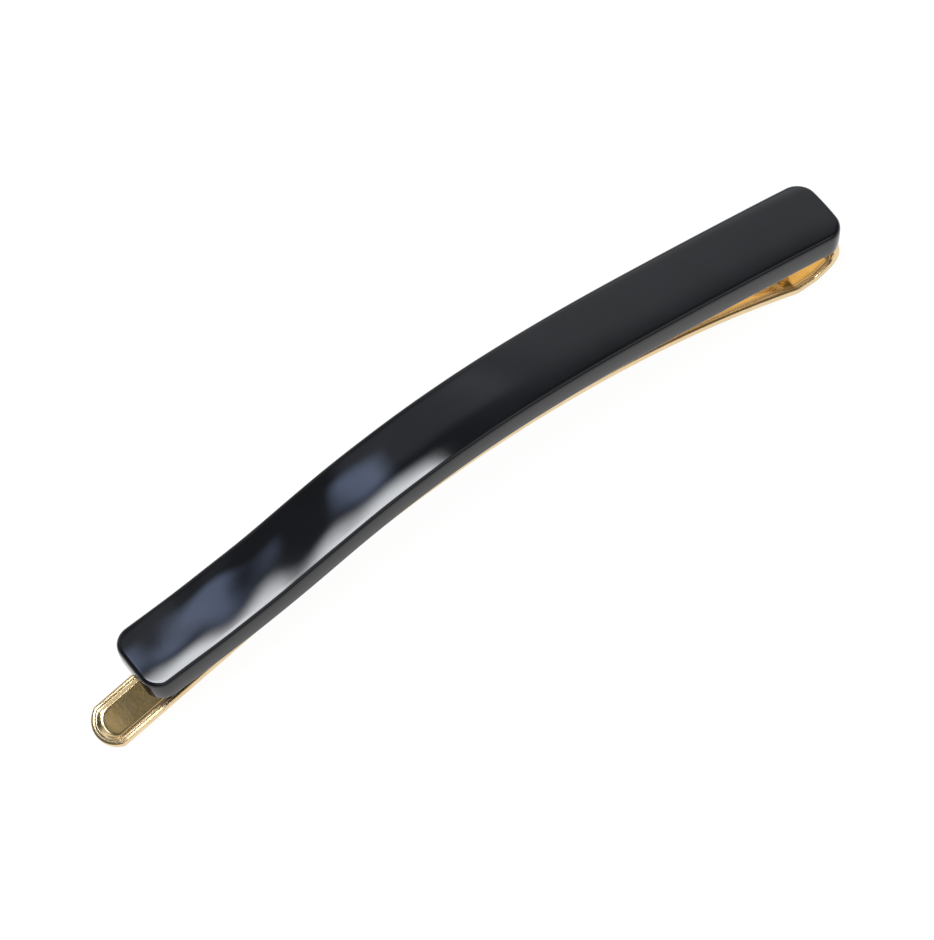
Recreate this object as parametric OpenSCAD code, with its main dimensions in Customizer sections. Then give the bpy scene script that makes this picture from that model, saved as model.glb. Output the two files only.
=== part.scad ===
// Slim hair slide: an arched acetate bar with one bent spring strip bonded under it.
// The strip runs along the underside of the bar, folds back through a teardrop loop at
// one end, and returns as a sprung lower leg whose rounded tip passes the other end.
// X runs along the bar from the tip to the loop, Z is up, and Y = 0 is the middle plane.
// The slide stands on the tip and on the foot under the loop, at Z = 0.

/* [Bar] */
// Width of the acetate bar
bar_w = 7.6; // [7:0.1:10]
// Thickness of the acetate bar
bar_t = 3; // [2.8:0.1:4]
// Rounding of the upper edges of the bar
bar_edge_r = 0.45; // [0.3:0.05:1]
// Rounding of the lower edges of the bar
bar_foot_r = 0.4; // [0.3:0.05:1]
// How far the domed top falls from the middle to the long edges
bar_dome = 0.28; // [0:0.02:0.4]
// Rounding of the four corners of the bar, seen from above
bar_corner_r = 2; // [1.4:0.1:3]

/* [Bar curve] */
// Slope of the bar at the mouth end, in degrees
mouth_tilt = 3.63; // [3.3:0.01:3.95]
// Radius of the hollow flare at the mouth end
flare_r = 103; // [98:1:108]
// Turn through the flare, in degrees
flare_turn = 10.7; // [10.2:0.1:11]
// Radius of the crown in the middle
crown_r = 74; // [70:1:78]
// Turn through the crown, in degrees
crown_turn = 18.6; // [18:0.1:19]
// Radius of the shoulder after the crown
shoulder_r = 126; // [120:1:132]
// Turn through the shoulder, in degrees
shoulder_turn = 5.7; // [5.2:0.1:6]
// Radius of the long flat run to the loop end
tail_r = 488; // [478:1:498]
// Turn through the flat run, in degrees
tail_turn = 2.5; // [2.2:0.1:2.7]

/* [Spring strip] */
// Width of the strip
strip_w = 5; // [4.4:0.1:5.4]
// Height of the rolled lips along both edges of the strip
strip_t = 0.7; // [0.6:0.05:0.8]
// Thickness of the strip between its lips
floor_t = 0.45; // [0.35:0.05:0.55]
// Width of each lip
lip_w = 0.55; // [0.4:0.05:0.8]
// Radius of the rounded tip, seen from above
tip_r = 2.8; // [2.7:0.1:3.2]
// Thickness of the bond under the bar
bond_t = 0.12; // [0.08:0.01:0.18]
// Distance from the loop end of the bar to the start of the fold
fold_inset = 1.1; // [0.9:0.1:1.8]
// Distance from the mouth end of the bar to the end of the upper leg
upper_inset = 9; // [6:0.5:14]

/* [Fold loop] */
// Outer radius of the tight fold, which the lower leg springs about
fold_r = 1.3; // [1.2:0.05:1.4]
// Turn through the tight fold, in degrees
fold_turn = 78.2; // [77:0.1:79]
// Straight drop after the tight fold
drop_run = 0.75; // [0.65:0.05:0.85]
// Outer radius of the toe of the loop
toe_r = 2.2; // [2.1:0.1:2.3]
// Turn through the toe, in degrees
toe_turn = 67; // [66:0.5:68]
// Straight run from the toe to the foot
ramp_run = 1.3; // [1.2:0.1:1.4]
// Outer radius of the two bends beside the level foot
foot_r = 1.5; // [1.2:0.1:1.8]
// Length of the foot that the slide stands on
foot_run = 1.7; // [1.5:0.1:1.9]
// Slope of the lower leg where it leaves the foot, in degrees
heel_slope = 25.06; // [24.86:0.05:25.26]

/* [Lower leg] */
// Straight run after the foot
heel_run = 1.1; // [0.9:0.1:1.3]
// Radius of the long bow of the lower leg
bow_r = 82.6; // [81.8:0.2:83.4]
// Turn through the long bow, in degrees
bow_turn = 31.67; // [31.47:0.05:31.87]
// Radius of the gentler bow that follows
ease_r = 99; // [96:1:102]
// Turn through the gentler bow, in degrees
ease_turn = 7.87; // [7.67:0.05:8.07]
// Straight run to the very tip
tip_run = 21.38; // [20.38:0.02:22.38]

/* [Hidden] */
$fn = 96;

// A route is a list of runs. A run is [length, 0] if it is straight and [radius, turn]
// if it is an arc; a positive turn is to the left. A place on it is [x, z, heading].
function step(p, run) = run[1] == 0
    ? [p[0] + run[0] * cos(p[2]), p[1] + run[0] * sin(p[2]), p[2]]
    : let (s = sign(run[1]), h = p[2] + run[1],
           cx = p[0] - s * run[0] * sin(p[2]), cz = p[1] + s * run[0] * cos(p[2]))
      [cx + s * run[0] * sin(h), cz - s * run[0] * cos(h), h];
function place(route, start, n) = n == 0 ? start : step(place(route, start, n - 1), route[n - 1]);
function aside(p, d) = [p[0] - d * sin(p[2]), p[1] + d * cos(p[2]), p[2]];
function part_of(run, k) = run[1] == 0 ? [run[0] * k, 0] : [run[0], run[1] * k];

// Steps in one run: chords of an arc stay under 6 degrees and under 1.6 mm.
function steps(run) = run[1] == 0 ? 1
    : max(ceil(abs(run[1]) / 6), ceil(run[0] * abs(run[1]) * PI / 180 / 1.6));

// Places along a whole route, each run from its start up to but not including its end.
function along(route, start) = concat(
    [for (i = [0:len(route) - 1]) let (p = place(route, start, i), n = steps(route[i]))
        for (k = [0:n - 1]) k == 0 ? p : step(p, part_of(route[i], k / n))],
    [place(route, start, len(route))]);
function flip(v) = [for (i = [len(v) - 1:-1:0]) v[i]];

// The side outline of a band between two distances from a route.
function band(places, low, high) = concat(
    [for (p = places) let (q = aside(p, high)) [q[0], q[1]]],
    [for (p = flip(places)) let (q = aside(p, low)) [q[0], q[1]]]);

// The middle line of the bar, from the mouth end to the loop end.
cap = bar_corner_r;
bar_runs = [[flare_r, flare_turn], [crown_r, -crown_turn], [shoulder_r, -shoulder_turn], [tail_r, -tail_turn]];
bar_start = [0, 0, mouth_tilt];
bar_first = step(bar_start, [cap, 0]);
bar_last = place(bar_runs, bar_first, len(bar_runs));
bar_end = step(bar_last, [cap, 0]);

// The top face of the upper leg, from its own mouth end to the start of the fold.
bond_n = -bar_t / 2 - bond_t;
upper_skip = (upper_inset - cap) / flare_r * 180 / PI;
upper_runs = concat([[flare_r, flare_turn - upper_skip]],
    [for (i = [1:3]) bar_runs[i]], [[cap - fold_inset, 0]]);
upper_start = step(bar_first, [flare_r, upper_skip]);
upper_places = [for (p = along(upper_runs, upper_start)) aside(p, bond_n)];

// The outer face of the strip, round the fold and back to the tip.
fold_start = aside(step(bar_end, [-fold_inset, 0]), bond_n);
fold_centre = aside(fold_start, -fold_r);
leg_start = step(fold_start, [fold_r, -fold_turn]);
ramp_end = place([[drop_run, 0], [toe_r, -toe_turn], [ramp_run, 0]], leg_start, 3);
leg_runs = [[drop_run, 0], [toe_r, -toe_turn], [ramp_run, 0],
            [foot_r, -180 - ramp_end[2]], [foot_run, 0], [foot_r, -heel_slope], [heel_run, 0],
            [bow_r, bow_turn], [ease_r, ease_turn], [tip_run, 0]];
leg_places = along(leg_runs, leg_start);
tip_end = place(leg_runs, leg_start, len(leg_runs));
foot_mid = place(concat([for (i = [0:3]) leg_runs[i]], [[foot_run / 2, 0]]), leg_start, 5);

// The slide stands level: Z = 0 is the foot, and X = 0 is halfway along the whole slide.
low_z = min(foot_mid[1], tip_end[1]);
bar_max_x = bar_end[0] - (bar_t / 2 - bar_edge_r) * sin(bar_end[2])
          + bar_edge_r * (1 - cos(bar_end[2]));
mid_x = (bar_max_x + tip_end[0]) / 2;

module seat() translate([-mid_x, 0, -low_z]) children();
module side(width) rotate([90, 0, 0]) translate([0, 0, -width / 2]) linear_extrude(width) children();

// The rounded bar is a stack of rings. A ring lies a distance s in from the nearer end face,
// where the end rounding (bar_edge_r, bar_foot_r) and the corner rounding (cap) narrow it.
arc_n = 5;
dome_at = [0.75, 0.45, 0.15, -0.15, -0.45, -0.75];
function ring_point(s, a, r) =
    let (t = a * (s < r ? acos(1 - s / r) / 90 : 1),
         in = min(s, cap), d = r * (1 - cos(t)))
    [bar_w / 2 - cap + sqrt(max(0, pow(cap - d, 2) - pow(cap - in, 2))),
     bar_t / 2 - r + r * sin(t)];
function dome(y) = bar_dome * pow(2 * y / bar_w, 2);
function ring(p, s) =
    let (top = ring_point(s, 90, bar_edge_r),
         corner = [for (q = [0:3]) [for (k = [0:arc_n])
             let (a = 90 * (q % 2 == 0 ? k : arc_n - k) / arc_n,
                  c = ring_point(s, a, q < 2 ? bar_edge_r : bar_foot_r))
             [(q == 0 || q == 3 ? 1 : -1) * c[0], q < 2 ? c[1] - dome(c[0]) : -c[1]]]],
         middle = [for (f = dome_at) [f * top[0], top[1] - dome(f * top[0])]])
    [for (c = concat(corner[0], middle, corner[1], corner[2], corner[3]))
        [p[0] - c[1] * sin(p[2]), c[0], p[1] + c[1] * cos(p[2])]];

// Distances of the end rings from the end face.
end_s = concat([for (f = [13, 30, 47, 64, 78]) bar_edge_r * (1 - cos(f))],
               [for (k = [0:3]) bar_edge_r + (cap - bar_edge_r) * k / 4]);
body_places = along(bar_runs, bar_first);
rings = concat(
    [for (s = end_s) ring(step(bar_start, [s, 0]), s)],
    [for (p = body_places) ring(p, cap)],
    [for (s = flip(end_s)) ring(step(bar_end, [-s, 0]), s)]);

module bar_shape() {
    m = 4 * (arc_n + 1) + len(dome_at);
    n = len(rings);
    polyhedron(
        points = [for (r = rings) each r],
        faces = concat(
            [[for (k = [0:m - 1]) k]],
            [[for (k = [m - 1:-1:0]) (n - 1) * m + k]],
            [for (i = [0:n - 2], k = [0:m - 1]) let (j = (k + 1) % m)
                each [[i * m + k, (i + 1) * m + k, (i + 1) * m + j],
                      [i * m + k, (i + 1) * m + j, i * m + j]]]));
}

// Seen from above: the strip from its rounded end at x = end_x, running towards +X.
module plan(end_x, inset) {
    translate([end_x, 0, -60]) linear_extrude(120) {
        translate([tip_r, inset - strip_w / 2]) square([100, strip_w - 2 * inset]);
        intersection() {
            translate([tip_r, 0]) circle(tip_r - inset);
            translate([0, inset - strip_w / 2]) square([tip_r + 0.5, strip_w - 2 * inset]);
        }
    }
}

// A band of strip with lips on its inner side and a lip round its rounded end. The inner
// side lies at negative distances from the route.
module lipped(places, end_x) {
    ext = concat([step(places[0], [-0.5, 0])], places, [step(places[len(places) - 1], [0.5, 0])]);
    difference() {
        intersection() {
            side(strip_w) polygon(band(places, -strip_t, 0));
            plan(end_x, 0);
        }
        intersection() {
            side(strip_w) polygon(band(ext, -strip_t - 0.15, -floor_t));
            plan(end_x, lip_w);
        }
    }
}

module acetate_bar() color([0.13, 0.135, 0.15]) seat() bar_shape();

module bond_film() color([0.75, 0.7, 0.55]) seat()
    side(strip_w - 0.6) polygon(band(upper_places, 0, bond_t));

module upper_leg() color([0.87, 0.7, 0.4]) seat() lipped(upper_places, upper_places[0][0]);

// The fold is a round sleeve about the hinge line, open on its inner side like the strip.
module spring_fold() color([0.83, 0.62, 0.3]) seat()
    translate([fold_centre[0], 0, fold_centre[1]]) rotate([0, -fold_start[2], 0])
        rotate([0, -90, -90]) rotate_extrude(angle = fold_turn)
            translate([fold_r, 0]) rotate(-90) strip_section();

// Section of the strip: the outer face is at height 0 and the lips reach down to -strip_t.
module strip_section() {
    w = strip_w / 2;
    polygon([[-w, 0], [w, 0], [w, -strip_t], [w - lip_w, -strip_t], [w - lip_w, -floor_t],
             [lip_w - w, -floor_t], [lip_w - w, -strip_t], [-w, -strip_t]]);
}

module lower_leg() color([0.87, 0.7, 0.4]) seat() lipped(leg_places, tip_end[0]);

acetate_bar();
bond_film();
upper_leg();
spring_fold();
lower_leg();
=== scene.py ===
# Slim acetate hair slide: smooth bar, pressed gold strip with lips, groove and bead, and the fold between the legs.
import math
import bpy
import numpy as np
from mathutils import Matrix, Vector


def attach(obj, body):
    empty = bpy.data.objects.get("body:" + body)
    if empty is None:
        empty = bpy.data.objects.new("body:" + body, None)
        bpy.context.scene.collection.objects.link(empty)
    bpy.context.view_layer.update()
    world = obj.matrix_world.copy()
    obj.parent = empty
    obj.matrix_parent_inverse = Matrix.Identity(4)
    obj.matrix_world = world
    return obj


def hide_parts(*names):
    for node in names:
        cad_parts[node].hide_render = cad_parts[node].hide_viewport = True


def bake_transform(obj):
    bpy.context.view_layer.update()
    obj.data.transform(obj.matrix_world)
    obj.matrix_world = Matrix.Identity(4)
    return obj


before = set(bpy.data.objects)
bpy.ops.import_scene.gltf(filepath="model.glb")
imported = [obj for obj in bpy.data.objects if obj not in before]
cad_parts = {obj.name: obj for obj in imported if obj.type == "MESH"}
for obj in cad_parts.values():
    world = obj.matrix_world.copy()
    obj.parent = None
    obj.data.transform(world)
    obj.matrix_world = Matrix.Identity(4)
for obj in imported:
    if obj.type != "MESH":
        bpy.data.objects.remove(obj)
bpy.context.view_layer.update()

MM = 0.001

# ------------------------------------------------------------------ the CAD's own dimensions, in mm
BAR_W, BAR_T, BAR_R, BAR_FOOT_R, BAR_RC, DOME = 7.6, 3.0, 0.45, 0.4, 2.0, 0.28
MOUTH = 3.63
BAR_RUNS = [(2.0, 0), (103, 10.7), (74, -18.6), (126, -5.7), (488, -2.5), (2.0, 0)]
STRIP_W, STRIP_T, FLOOR_T, LIP_W, TIP_R = 5.0, 0.7, 0.45, 0.55, 2.8
BOND_T, FOLD_INSET, UPPER_INSET = 0.12, 1.1, 9.0
FOLD_R, FOLD_TURN = 1.3, 78.2


def step(p, run):
    x, z, h = p
    r, t = run
    a = math.radians(h)
    if t == 0:
        return (x + r * math.cos(a), z + r * math.sin(a), h)
    s = math.copysign(1, t)
    b = math.radians(h + t)
    cx, cz = x - s * r * math.sin(a), z + s * r * math.cos(a)
    return (cx + s * r * math.sin(b), cz - s * r * math.cos(b), h + t)


def place(runs, p):
    for r in runs:
        p = step(p, r)
    return p


def aside(p, d):
    a = math.radians(p[2])
    return (p[0] - d * math.sin(a), p[1] + d * math.cos(a), p[2])


bar_start = (0.0, 0.0, MOUTH)
bar_end = place(BAR_RUNS, bar_start)
bond_n = -BAR_T / 2 - BOND_T
skip = math.degrees((UPPER_INSET - 2.0) / 103)
upper_start = aside(place([(2.0, 0), (103, skip)], bar_start), bond_n)
UPPER_RUNS = [(103 - bond_n, 10.7 - skip), (74 + bond_n, -18.6), (126 + bond_n, -5.7), (488 + bond_n, -2.5), (2.0 - FOLD_INSET, 0)]
FOLD_RUNS = [(FOLD_R, -FOLD_TURN)]
fold_start = place(UPPER_RUNS, upper_start)
leg_start = place(FOLD_RUNS, fold_start)
ramp_end = place([(0.75, 0), (2.2, -67.0), (1.3, 0)], leg_start)
LEG_RUNS = [(0.75, 0), (2.2, -67.0), (1.3, 0), (1.5, -180 - ramp_end[2]), (1.7, 0), (1.5, -25.06), (1.1, 0),
            (82.6, 31.67), (99, 7.87), (21.38, 0)]
tip_end = place(LEG_RUNS, leg_start)
foot = place(LEG_RUNS[:5], leg_start)
a_end = math.radians(bar_end[2])
bar_max_x = bar_end[0] - (BAR_T / 2 - BAR_R) * math.sin(a_end) + BAR_R * (1 - math.cos(a_end))
MID_X = (bar_max_x + tip_end[0]) / 2
LOW_Z = min(foot[1], tip_end[1])


def run_len(run):
    return run[0] if run[1] == 0 else run[0] * abs(math.radians(run[1]))


class Route:
    """A smooth plane curve: the CAD's tangent arcs with the jumps in curvature eased over a short length."""

    def __init__(self, runs, start, ease):
        ds = 0.01
        total = sum(run_len(r) for r in runs)
        pad = ease * 2
        s = np.arange(-pad, total + pad, ds)
        at, turn = [0.0], [float(start[2])]
        for r in runs:
            at.append(at[-1] + run_len(r))
            turn.append(turn[-1] + r[1])
        h = np.radians(np.interp(s, at, turn))
        if ease > 0:
            m = max(3, int(ease / ds) | 1)
            w = np.hanning(m + 2)[1:-1]
            w /= w.sum()
            wide = np.concatenate([np.full(m, h[0]), h, np.full(m, h[-1])])
            h = np.convolve(wide, w, mode="same")[m:-m]
        x = np.concatenate([[0], np.cumsum(np.cos((h[1:] + h[:-1]) / 2) * ds)])
        z = np.concatenate([[0], np.cumsum(np.sin((h[1:] + h[:-1]) / 2) * ds)])
        x += start[0] - np.interp(0, s, x)
        z += start[1] - np.interp(0, s, z)
        self.s, self.x, self.z, self.h, self.total = s, x, z, h, total

    def pull(self, end, free=0.0):
        """Spreads the small easing error along the route, so that it ends exactly at end."""
        ex = end[0] - np.interp(self.total, self.s, self.x)
        ez = end[1] - np.interp(self.total, self.s, self.z)
        t = np.clip((self.s - free) / (self.total - free), 0, 1)
        self.x += ex * t
        self.z += ez * t

    def point(self, s, y, n):
        """n is measured to the left of the way."""
        h = np.interp(s, self.s, self.h)
        x = np.interp(s, self.s, self.x) - n * np.sin(h)
        z = np.interp(s, self.s, self.z) + n * np.cos(h)
        x = x - MID_X
        z = z - LOW_Z
        return np.stack([x, y + 0 * x, z], -1) * MM


bar_route = Route(BAR_RUNS, bar_start, 7.0)
bar_route.pull(bar_end)
BAR_L = bar_route.total
UP_L = sum(run_len(r) for r in UPPER_RUNS)
FOLD_L = run_len(FOLD_RUNS[0])
LEG_L = sum(run_len(r) for r in LEG_RUNS)


def make_object(name, verts, faces, mat, sharp=()):
    me = bpy.data.meshes.new(name)
    me.from_pydata([tuple(v) for v in verts], [], faces)
    me.validate(clean_customdata=False)
    for p in me.polygons:
        p.use_smooth = True
    if sharp:
        marks = set(tuple(sorted(e)) for e in sharp)
        for e in me.edges:
            if tuple(sorted(e.vertices)) in marks:
                e.use_edge_sharp = True
    me.update()
    ob = bpy.data.objects.new(name, me)
    bpy.context.scene.collection.objects.link(ob)
    me.materials.append(mat)
    return ob


# ------------------------------------------------------------------ materials
def new_mat(name):
    m = bpy.data.materials.new(name)
    m.use_nodes = True
    nt = m.node_tree
    return m, nt, nt.nodes["Principled BSDF"]


def node(nt, kind, **inputs):
    n = nt.nodes.new(kind)
    for k, v in inputs.items():
        n.inputs[k.replace("_", " ")].default_value = v
    return n


def acetate_material():
    m, nt, b = new_mat("black_acetate")
    tc = nt.nodes.new("ShaderNodeTexCoord")
    # faint cloudy variation deep in the black, as pressed and dyed acetate has
    cloud = node(nt, "ShaderNodeTexNoise", Scale=190.0, Detail=3.0, Roughness=0.55)
    nt.links.new(tc.outputs["Object"], cloud.inputs["Vector"])
    ramp = nt.nodes.new("ShaderNodeValToRGB")
    ramp.color_ramp.elements[0].position = 0.3
    ramp.color_ramp.elements[0].color = (0.0026, 0.0028, 0.0036, 1)
    ramp.color_ramp.elements[1].position = 0.75
    ramp.color_ramp.elements[1].color = (0.0052, 0.0055, 0.0066, 1)
    nt.links.new(cloud.outputs["Fac"], ramp.inputs["Fac"])
    nt.links.new(ramp.outputs["Color"], b.inputs["Base Color"])
    # buffed gloss: a little haze that comes and goes, and a few fine wipe marks along the bar
    stretch = nt.nodes.new("ShaderNodeMapping")
    stretch.inputs["Scale"].default_value = (60, 900, 900)
    nt.links.new(tc.outputs["Object"], stretch.inputs["Vector"])
    wipe = node(nt, "ShaderNodeTexNoise", Scale=1.0, Detail=4.0, Roughness=0.6)
    nt.links.new(stretch.outputs["Vector"], wipe.inputs["Vector"])
    rr = nt.nodes.new("ShaderNodeMapRange")
    rr.inputs["From Min"].default_value = 0.3
    rr.inputs["From Max"].default_value = 0.75
    rr.inputs["To Min"].default_value = 0.045
    rr.inputs["To Max"].default_value = 0.10
    nt.links.new(wipe.outputs["Fac"], rr.inputs["Value"])
    nt.links.new(rr.outputs["Result"], b.inputs["Roughness"])
    # orange-peel and micro-scratches, microns high
    peel = node(nt, "ShaderNodeTexNoise", Scale=420.0, Detail=2.0, Roughness=0.5)
    nt.links.new(tc.outputs["Object"], peel.inputs["Vector"])
    bump = nt.nodes.new("ShaderNodeBump")
    bump.inputs["Strength"].default_value = 0.25
    bump.inputs["Distance"].default_value = 0.00001
    nt.links.new(peel.outputs["Fac"], bump.inputs["Height"])
    nt.links.new(bump.outputs["Normal"], b.inputs["Normal"])
    b.inputs["IOR"].default_value = 1.49
    b.inputs["Specular IOR Level"].default_value = 0.5
    return m


def gold_material(name="gold_plate", smooth=0.055, rough=0.13, fine=1.0, dull=(0.82, 0.58, 0.26), light=(0.91, 0.69, 0.35)):
    m, nt, b = new_mat(name)
    tc = nt.nodes.new("ShaderNodeTexCoord")
    cloud = node(nt, "ShaderNodeTexNoise", Scale=520.0, Detail=4.0, Roughness=0.6)
    nt.links.new(tc.outputs["Object"], cloud.inputs["Vector"])
    ramp = nt.nodes.new("ShaderNodeValToRGB")
    ramp.color_ramp.elements[0].position = 0.28
    ramp.color_ramp.elements[0].color = (*dull, 1)
    ramp.color_ramp.elements[1].position = 0.72
    ramp.color_ramp.elements[1].color = (*light, 1)
    nt.links.new(cloud.outputs["Fac"], ramp.inputs["Fac"])
    nt.links.new(ramp.outputs["Color"], b.inputs["Base Color"])
    b.inputs["Metallic"].default_value = 1.0
    # rolled strip: fine lines along its length under the plating, and softer patches of wear
    stretch = nt.nodes.new("ShaderNodeMapping")
    stretch.inputs["Scale"].default_value = (250, 5200, 700)
    nt.links.new(tc.outputs["Object"], stretch.inputs["Vector"])
    lines = node(nt, "ShaderNodeTexNoise", Scale=1.0, Detail=5.0, Roughness=0.65)
    nt.links.new(stretch.outputs["Vector"], lines.inputs["Vector"])
    rr = nt.nodes.new("ShaderNodeMapRange")
    rr.inputs["From Min"].default_value = 0.3
    rr.inputs["From Max"].default_value = 0.72
    rr.inputs["To Min"].default_value = smooth
    rr.inputs["To Max"].default_value = rough
    nt.links.new(lines.outputs["Fac"], rr.inputs["Value"])
    nt.links.new(rr.outputs["Result"], b.inputs["Roughness"])
    dents = node(nt, "ShaderNodeTexNoise", Scale=1500.0, Detail=3.0, Roughness=0.6)
    nt.links.new(tc.outputs["Object"], dents.inputs["Vector"])
    add = nt.nodes.new("ShaderNodeMath")
    add.operation = "MULTIPLY_ADD"
    add.inputs[1].default_value = 0.6
    nt.links.new(lines.outputs["Fac"], add.inputs[0])
    nt.links.new(dents.outputs["Fac"], add.inputs[2])
    bump = nt.nodes.new("ShaderNodeBump")
    bump.inputs["Strength"].default_value = 0.35 * fine
    bump.inputs["Distance"].default_value = 0.00002
    nt.links.new(add.outputs["Value"], bump.inputs["Height"])
    nt.links.new(bump.outputs["Normal"], b.inputs["Normal"])
    return m


def bond_material():
    m, nt, b = new_mat("cured_adhesive")
    tc = nt.nodes.new("ShaderNodeTexCoord")
    cloud = node(nt, "ShaderNodeTexNoise", Scale=900.0, Detail=4.0, Roughness=0.6)
    nt.links.new(tc.outputs["Object"], cloud.inputs["Vector"])
    ramp = nt.nodes.new("ShaderNodeValToRGB")
    ramp.color_ramp.elements[0].color = (0.045, 0.038, 0.026, 1)
    ramp.color_ramp.elements[1].color = (0.16, 0.13, 0.085, 1)
    nt.links.new(cloud.outputs["Fac"], ramp.inputs["Fac"])
    nt.links.new(ramp.outputs["Color"], b.inputs["Base Color"])
    rr = nt.nodes.new("ShaderNodeMapRange")
    rr.inputs["To Min"].default_value = 0.2
    rr.inputs["To Max"].default_value = 0.45
    nt.links.new(cloud.outputs["Fac"], rr.inputs["Value"])
    nt.links.new(rr.outputs["Result"], b.inputs["Roughness"])
    return m


ACETATE, GOLD, BOND = acetate_material(), gold_material(), bond_material()
# the pressed lips and cut edges are satin, the floor of the strip is bright
LIP = gold_material("gold_plate_lip", 0.18, 0.29, dull=(0.74, 0.55, 0.30), light=(0.83, 0.64, 0.38))

# ------------------------------------------------------------------ the acetate bar
SIDE_TOP, SIDE_LOW, END_ROLL, END_BOW = 0.055, 0.03, 0.05, 0.10
LEAN_TOP, LEAN_LOW = math.radians(6.0), math.radians(3.5)


def bar_top(s, y):
    """Height of the domed, hand-buffed top face over the middle line, without the edge rounding."""
    e = np.minimum(s, BAR_L - s)
    roll = END_ROLL * np.clip(1 - e / 6.0, 0, 1) ** 2
    left = np.exp(-(np.maximum(s - 20.0, 0) / 10.0) ** 2)
    wave = (0.020 * np.sin(s / 2.1 + 0.60 * y + 0.6) * left
            + 0.015 * np.sin(s / 1.25 - 0.90 * y + 2.0) * left
            + 0.008 * np.cos(1.15 * y + s / 3.7 + 1.0) * left
            + 0.0015 * (np.sin(s / 2.6 + 0.3 * y) - 1)) * np.clip(e / 3, 0, 1)
    return BAR_T / 2 - 0.004 - DOME * np.abs(y / (BAR_W / 2)) ** 2.2 - roll + wave


def outline(d, n_long, n_short, n_corner):
    """Plan outline of the bar moved in by d, counter-clockwise from above, as (s, y)."""
    rho = max(BAR_RC - d, min(0.9, 0.8 * (BAR_W / 2 - d)))
    hl, hw = BAR_L / 2 - d, BAR_W / 2 - d
    pts = []
    corners = [(hl - rho, -(hw - rho), -90), (hl - rho, hw - rho, 0), (-(hl - rho), hw - rho, 90), (-(hl - rho), -(hw - rho), 180)]
    for q, (cx, cy, a0) in enumerate(corners):
        arc = [(cx + rho * math.cos(math.radians(a0 + 90 * k / n_corner)), cy + rho * math.sin(math.radians(a0 + 90 * k / n_corner)))
               for k in range(n_corner + 1)]
        nx = corners[(q + 1) % 4]
        end = (nx[0] + rho * math.cos(math.radians(nx[2])), nx[1] + rho * math.sin(math.radians(nx[2])))
        m = n_short if q % 2 == 0 else n_long
        line = [(arc[-1][0] + (end[0] - arc[-1][0]) * k / m, arc[-1][1] + (end[1] - arc[-1][1]) * k / m) for k in range(1, m)]
        pts += arc + line
    p = np.array(pts)
    # the ends are very slightly bowed, seen from above
    near_end = np.clip(1 - (BAR_L / 2 - np.abs(p[:, 0])) / 4.0, 0, 1) ** 2
    p[:, 0] -= np.sign(p[:, 0]) * END_BOW * near_end * (p[:, 1] / (BAR_W / 2)) ** 2
    p[:, 0] += BAR_L / 2
    return p


def build_bar():
    NL, NS, NC = 300, 14, 14
    rings = []

    def top_ring(d, drop):
        p = outline(d, NL, NS, NC)
        return p, bar_top(p[:, 0], p[:, 1]) - drop
    for d in (3.72, 3.45, 3.15, 2.85, 2.55, 2.25, 1.95, 1.7, 1.45, 1.2, 1.0, 0.82, 0.68):
        rings.append(top_ring(d, 0.0))
    # upper edge: a small round that turns over into the slightly leaning side
    fmax = math.pi / 2 - LEAN_TOP
    for k in range(0, 13):
        f = fmax * k / 12
        rings.append(top_ring(SIDE_TOP + BAR_R * (math.sin(fmax) - math.sin(f)), BAR_R * (1 - math.cos(f))))
    edge_n = rings[-1][1]
    low = -BAR_T / 2 + BAR_FOOT_R * (1 - math.sin(LEAN_LOW))
    for k in range(1, 12):
        t = k / 12
        d = SIDE_TOP * ((0.58 - t) / 0.58) ** 2 if t < 0.58 else SIDE_LOW * ((t - 0.58) / 0.42) ** 2
        rings.append((outline(d, NL, NS, NC), edge_n * (1 - t) + low * t))
    for k in range(0, 11):
        f = LEAN_LOW + (math.pi / 2 - LEAN_LOW) * k / 10
        d = SIDE_LOW + BAR_FOOT_R * (math.cos(LEAN_LOW) - math.cos(f))
        rings.append((outline(d, NL, NS, NC), np.full(len(edge_n), low - BAR_FOOT_R * (math.sin(f) - math.sin(LEAN_LOW)))))
    for d in (0.8, 1.3, 1.9, 2.6, 3.2, 3.72):
        rings.append((outline(d, NL, NS, NC), np.full(len(edge_n), -BAR_T / 2)))
    m = len(rings[0][0])
    verts = np.concatenate([bar_route.point(p[:, 0], p[:, 1], n) for p, n in rings])
    faces = []
    for i in range(len(rings) - 1):
        a, b = i * m, (i + 1) * m
        for k in range(m):
            j = (k + 1) % m
            faces.append((a + k, b + k, b + j, a + j))

    def across(base, flip):
        """Closes the last narrow ring from side to side."""
        mid = NC + NS // 2
        far = [(mid + k) % m for k in range(m // 2 + 1)]
        near = [(mid - k) % m for k in range(m // 2 + 1)]
        out = []
        for k in range(m // 2):
            u = []
            for v in (far[k], far[k + 1], near[k + 1], near[k]):
                if v not in u:
                    u.append(v)
            if len(u) > 2:
                out.append(tuple(base + v for v in (u[::-1] if flip else u)))
        return out
    faces += across(0, False)
    faces += across((len(rings) - 1) * m, True)
    return make_object("acetate_bar_polished", verts, faces, ACETATE)


# ------------------------------------------------------------------ the pressed strip
strip_start = upper_start
strip_route = Route(UPPER_RUNS + FOLD_RUNS + LEG_RUNS, strip_start, 0.3)
STRIP_L = strip_route.total
strip_route.pull(place(UPPER_RUNS + FOLD_RUNS + LEG_RUNS, strip_start))
# the very end stands square to the strip, so it stops short by the lean of its lips
TIP_S = STRIP_L - STRIP_T * abs(math.tan(math.radians(tip_end[2]))) - 0.001


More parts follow.
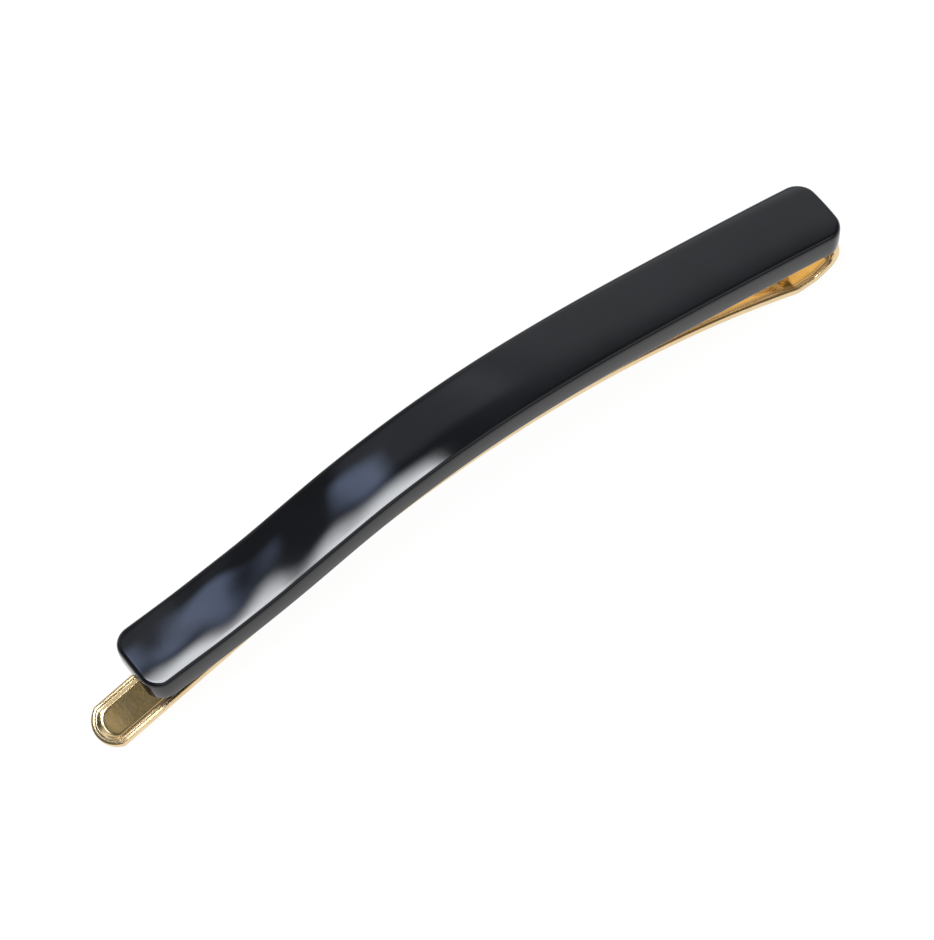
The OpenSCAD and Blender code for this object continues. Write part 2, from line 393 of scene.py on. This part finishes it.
def strip_profile():
    """(d, n) from the middle of the outer face round the edge to the middle of the floor: d in from the edge, n in from the outer face."""
    pts = [(2.15, 0.0), (1.7, 0.0), (1.2, 0.0), (0.7, 0.0), (0.35, 0.0)]
    r = 0.08
    for k in range(0, 6):
        f = math.radians(90 * k / 5)
        pts.append((r * (1 - math.sin(f)), r * (1 - math.cos(f))))
    pts += [(0.0, 0.25), (0.0, 0.37), (0.0, 0.49)]
    r2 = 0.12
    top = 0.655
    for k in range(0, 6):
        f = math.radians(90 * k / 5)
        pts.append((r2 * (1 - math.cos(f)), top - r2 * (1 - math.sin(f))))
    # lip top, groove, bead, sloping wall, floor
    pts += [(0.16, 0.669), (0.20, 0.683), (0.24, 0.692), (0.265, 0.693), (0.29, 0.688), (0.315, 0.677), (0.34, 0.667), (0.37, 0.663),
            (0.40, 0.668), (0.43, 0.679), (0.455, 0.688), (0.48, 0.695), (0.51, 0.698), (0.545, 0.696), (0.575, 0.688), (0.60, 0.674),
            (0.64, 0.648), (0.69, 0.612), (0.74, 0.576), (0.79, 0.540), (0.85, 0.497), (0.93, 0.458), (1.05, 0.446), (1.3, 0.444),
            (1.7, 0.442), (2.15, 0.441)]
    return np.array(pts)


PROFILE = strip_profile()
# away from the tip the lip is plain: it runs down to the floor in one sweep
PLAIN = PROFILE[:, 1].copy()
inside = np.arange(len(PROFILE)) > int(np.argmax((PROFILE[:, 0] > 0.119) & (PROFILE[:, 1] > 0.65)))
PLAIN[inside] = np.interp(PROFILE[inside, 0], [0.12, 0.16, 0.20, 0.29, 0.34, 0.40, 0.455, 0.51, 0.56, 0.62, 0.72, 1.0, 2.15],
                          [0.655, 0.687, 0.699, 0.697, 0.688, 0.655, 0.600, 0.530, 0.480, 0.456, 0.447, 0.444, 0.441])


def build_strip(name, s0, s1, round0, round1, mat, spacing=0.35):
    w = STRIP_W / 2
    K = len(PROFILE)
    d = PROFILE[:, 0]
    n = PROFILE[:, 1]
    # stations along the strip: s for each profile point, and half-width y
    S, Y = [], []
    arc_n = 14
    a0 = np.arcsin(np.clip((w - d) / (TIP_R - d), -1, 1))
    junc = TIP_R - (TIP_R - d) * np.cos(a0)          # distance from the rounded end to where the arc starts
    lo, hi = s0, s1
    if round0:
        for k in range(arc_n + 1):
            a = a0 * k / arc_n
            S.append(s0 + TIP_R - (TIP_R - d) * np.cos(a))
            Y.append((TIP_R - d) * np.sin(a))
        lo = s0 + junc.max() + 0.25
    if round1:
        hi = s1 - junc.max() - 0.25
    # finer stations where the strip bends hard
    s = lo
    marks = [lo]
    while s < hi:
        k = abs(np.interp(s + 0.05, strip_route.s, np.gradient(strip_route.h, strip_route.s)))
        s += min(spacing, max(0.06, 0.075 / max(k, 1e-6)))
        marks.append(min(s, hi))
    if hi - marks[-2] < 0.03 and len(marks) > 2:
        marks.pop(-2)
    for s in marks:
        S.append(np.full(K, s))
        Y.append(w - d)
    if round1:
        for k in range(arc_n, -1, -1):
            a = a0 * k / arc_n
            S.append(s1 - TIP_R + (TIP_R - d) * np.cos(a))
            Y.append((TIP_R - d) * np.sin(a))
    S, Y = np.array(S), np.array(Y)
    J = len(S)
    pressed = np.clip((S - (STRIP_L - 11.0)) / 3.0, 0, 1)
    pressed = pressed * pressed * (3 - 2 * pressed)
    N = n[None, :] * pressed + PLAIN[None, :] * (1 - pressed)
    # the bead is dashed and a little uneven where the press tool has pinched it
    bead = np.exp(-((d - 0.51) / 0.07) ** 2)[None, :]
    along = S + 0.35 * np.sin(S * 1.3)
    dash = 0.5 + 0.5 * np.sin(along * 2 * math.pi / 0.62) * np.sin(along * 2 * math.pi / 2.3 + 0.8)
    N = N - bead * 0.045 * dash * pressed
    if round1:
        # the strip's floor dips a little towards its rounded end
        floor_part = np.clip((d - 0.90) / 0.2, 0, 1)[None, :]
        N = N - 0.085 * floor_part * np.clip((S - (s1 - 3.7)) / 3.1, 0, 1) ** 2
    verts = []
    near = np.zeros((J, K), int)
    far = np.zeros((J, K), int)
    for side, grid in ((-1, near), (1, far)):
        P = strip_route.point(S, side * Y, -N)
        for j in range(J):
            tip = (round0 and j == 0) or (round1 and j == J - 1)
            if side == 1 and tip:
                far[j] = near[j]
                continue
            for k in range(K):
                grid[j, k] = len(verts)
                verts.append(P[j, k])
    faces, kinds = [], []
    lips = [k for k in range(K - 1) if 0.0 <= PROFILE[k, 0] < 0.90 and PROFILE[k, 1] > 0.02]

    def add(q, flip, k=-1):
        u = []
        for v in q:
            if v not in u:
                u.append(int(v))
        if len(u) > 2:
            faces.append(tuple(u[::-1] if flip else u))
            kinds.append(1 if k in lips else 0)
    for j in range(J - 1):
        for k in range(K - 1):
            add((near[j, k], near[j, k + 1], near[j + 1, k + 1], near[j + 1, k]), False, k)
            add((far[j, k], far[j, k + 1], far[j + 1, k + 1], far[j + 1, k]), True, k)
        add((near[j, 0], near[j + 1, 0], far[j + 1, 0], far[j, 0]), False)
        add((near[j, K - 1], near[j + 1, K - 1], far[j + 1, K - 1], far[j, K - 1]), True)
    sharp = []
    for j, cut in ((0, not round0), (J - 1, not round1)):
        if cut:
            loop = list(near[j]) + list(far[j][::-1])
            loop = [int(v) for v in loop]
            faces.append(tuple(loop[::-1] if j == 0 else loop))
            kinds.append(0)
            sharp += [(loop[k], loop[(k + 1) % len(loop)]) for k in range(len(loop))]
    ob = make_object(name, verts, faces, mat, sharp)
    ob.data.materials.append(LIP)
    ob.data.polygons.foreach_set("material_index", kinds)
    ob.data.update()
    return ob


bar = build_bar()
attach(bar, "bar")
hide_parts("acetate_bar")

upper = build_strip("clip_upper_leg", 0.0, UP_L, True, False, GOLD)
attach(upper, "bar")
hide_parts("upper_leg")

fold = build_strip("clip_fold", UP_L, UP_L + FOLD_L, False, False, GOLD, 0.1)
lower = build_strip("clip_lower_leg", UP_L + FOLD_L, TIP_S, False, True, GOLD)
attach(lower, "leg")
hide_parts("lower_leg")


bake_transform(fold)
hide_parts("spring_fold")

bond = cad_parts["bond_film"]
bond.data.materials.clear()
bond.data.materials.append(BOND)

# ------------------------------------------------------------------ camera
# The view is held in the bar's own frame: the bar's chord along X, turned back by its tilt on the table.
LEVEL = math.radians(-0.67)


def to_row(v, is_point=True):
    """From the frame of the bar's chord (mm) to the row frame."""
    x, y, z = v
    if is_point:
        x, z = x + 40.0, z - 0.02
    c, s = math.cos(LEVEL), math.sin(LEVEL)
    x, z = x * c - z * s, x * s + z * c
    if is_point:
        x, z = x - MID_X, z - LOW_Z
    return Vector((x, y, z))


CAM = to_row((-134.707, -293.976, 529.263)) * MM
RIGHT = to_row((0.8131664, -0.5709571, -0.1129972), False)
DOWN = to_row((-0.5417635, -0.6715488, -0.5054844), False)
AHEAD = to_row((0.2127268, 0.4722607, -0.8554047), False)
cam_data = bpy.data.cameras.new("camera")
cam = bpy.data.objects.new("camera", cam_data)
bpy.context.scene.collection.objects.link(cam)
rot = Matrix((RIGHT, -DOWN, -AHEAD)).transposed()
cam.matrix_world = Matrix.Translation(CAM) @ rot.to_4x4()
cam_data.sensor_fit = "AUTO"
cam_data.sensor_width = 36.0
cam_data.lens = 6603.37 * 36.0 / 940.0
cam_data.clip_start = 0.01
cam_data.clip_end = 10.0
bpy.context.scene.camera = cam

# ------------------------------------------------------------------ floor, world and lights
def floor_material():
    m, nt, b = new_mat("floor_white")
    b.inputs["Base Color"].default_value = (0.06, 0.06, 0.06, 1)
    b.inputs["Roughness"].default_value = 0.9
    b.inputs["Specular IOR Level"].default_value = 0.0
    b.inputs["Emission Color"].default_value = (1, 1, 1, 1)
    # lit evenly under the slide, falling off well outside the picture
    tc = nt.nodes.new("ShaderNodeTexCoord")
    far = nt.nodes.new("ShaderNodeVectorMath")
    far.operation = "LENGTH"
    nt.links.new(tc.outputs["Object"], far.inputs[0])
    fall = nt.nodes.new("ShaderNodeMapRange")
    fall.interpolation_type = "SMOOTHSTEP"
    fall.inputs["From Min"].default_value = 0.09
    fall.inputs["From Max"].default_value = 0.40
    fall.inputs["To Min"].default_value = 0.95
    fall.inputs["To Max"].default_value = 0.55
    nt.links.new(far.outputs["Value"], fall.inputs["Value"])
    nt.links.new(fall.outputs["Result"], b.inputs["Emission Strength"])
    return m


me = bpy.data.meshes.new("floor")
me.from_pydata([(-3, -3, 0), (3, -3, 0), (3, 3, 0), (-3, 3, 0)], [], [(0, 1, 2, 3)])
floor = bpy.data.objects.new("floor", me)
bpy.context.scene.collection.objects.link(floor)
me.materials.append(floor_material())
floor.location.z = -0.00002

world = bpy.data.worlds.new("studio")
bpy.context.scene.world = world
world.use_nodes = True
bg = world.node_tree.nodes["Background"]
bg.inputs["Color"].default_value = (0.92, 0.96, 1.0, 1)
bg.inputs["Strength"].default_value = 0.13

# Soft boxes side by side on one overhead panel: middle and half size as a share of its height, softness, strength, colour.
BOXES = [
    (-0.120, -0.080, 0.225, 0.485, 0.45, 16.5, (0.93, 0.96, 1.0)),
    (-0.130, 0.540, 0.130, 0.24, 0.80, 3.3, (0.50, 0.64, 1.0)),
    (-0.570, 0.560, 0.185, 0.30, 0.80, 0.33, (1.0, 0.98, 0.95)),
    (0.120, 0.700, 0.32, 0.30, 0.40, 0.45, (0.82, 0.88, 1.0)),
    (1.150, 1.150, 1.05, 1.03, 0.48, 0.62, (0.92, 0.95, 1.0)),
    (0.300, 1.900, 1.70, 0.85, 0.35, 0.60, (0.95, 0.97, 1.0)),
    (0.200, -1.900, 1.70, 1.35, 0.30, 0.70, (0.97, 0.98, 1.0)),
]
PANEL_H = 0.6


def panel():
    me = bpy.data.meshes.new("overhead_panel")
    x0, x1, y0, y1 = -1.6 * PANEL_H, 2.3 * PANEL_H, -3.4 * PANEL_H, 2.6 * PANEL_H
    me.from_pydata([(x0, y0, 0), (x0, y1, 0), (x1, y1, 0), (x1, y0, 0)], [], [(0, 1, 2, 3)])
    ob = bpy.data.objects.new("overhead_panel", me)
    bpy.context.scene.collection.objects.link(ob)
    ob.location = (0, 0, PANEL_H)
    m = bpy.data.materials.new("overhead_panel")
    m.use_nodes = True
    nt = m.node_tree
    for n in list(nt.nodes):
        nt.nodes.remove(n)
    out = nt.nodes.new("ShaderNodeOutputMaterial")
    tc = nt.nodes.new("ShaderNodeTexCoord")
    sep = nt.nodes.new("ShaderNodeSeparateXYZ")
    nt.links.new(tc.outputs["Object"], sep.inputs["Vector"])
    total = None
    for cu, cw, hu, hw, soft, strength, colour in BOXES:
        share = None
        for axis, c, h in (("X", cu, hu), ("Y", cw, hw)):
            off = nt.nodes.new("ShaderNodeMath")
            off.operation = "SUBTRACT"
            off.inputs[1].default_value = c * PANEL_H
            nt.links.new(sep.outputs[axis], off.inputs[0])
            ab = nt.nodes.new("ShaderNodeMath")
            ab.operation = "ABSOLUTE"
            nt.links.new(off.outputs["Value"], ab.inputs[0])
            fall = nt.nodes.new("ShaderNodeMapRange")
            fall.interpolation_type = "SMOOTHSTEP"
            fall.inputs["From Min"].default_value = h * PANEL_H * (1 - soft)
            fall.inputs["From Max"].default_value = h * PANEL_H
            fall.inputs["To Min"].default_value = 1.0
            fall.inputs["To Max"].default_value = 0.0
            nt.links.new(ab.outputs["Value"], fall.inputs["Value"])
            if share is None:
                share = fall.outputs["Result"]
            else:
                mul = nt.nodes.new("ShaderNodeMath")
                mul.operation = "MULTIPLY"
                nt.links.new(share, mul.inputs[0])
                nt.links.new(fall.outputs["Result"], mul.inputs[1])
                share = mul.outputs["Value"]
        power = nt.nodes.new("ShaderNodeMath")
        power.operation = "MULTIPLY"
        power.inputs[1].default_value = strength
        nt.links.new(share, power.inputs[0])
        em = nt.nodes.new("ShaderNodeEmission")
        em.inputs["Color"].default_value = (*colour, 1)
        nt.links.new(power.outputs["Value"], em.inputs["Strength"])
        if total is None:
            total = em.outputs["Emission"]
        else:
            add = nt.nodes.new("ShaderNodeAddShader")
            nt.links.new(total, add.inputs[0])
            nt.links.new(em.outputs["Emission"], add.inputs[1])
            total = add.outputs["Shader"]
    low = nt.nodes.new("ShaderNodeEmission")
    low.inputs["Color"].default_value = (0.92, 0.96, 1.0, 1)
    low.inputs["Strength"].default_value = 0.13
    add = nt.nodes.new("ShaderNodeAddShader")
    nt.links.new(total, add.inputs[0])
    nt.links.new(low.outputs["Emission"], add.inputs[1])
    nt.links.new(add.outputs["Shader"], out.inputs["Surface"])
    me.materials.append(m)
    ob.visible_camera = False
    ob.visible_shadow = False


panel()

scene = bpy.context.scene
scene.view_settings.view_transform = "Standard"
scene.view_settings.look = "None"
scene.view_settings.exposure = 0.0
scene.cycles.max_bounces = 16
scene.cycles.glossy_bounces = 9
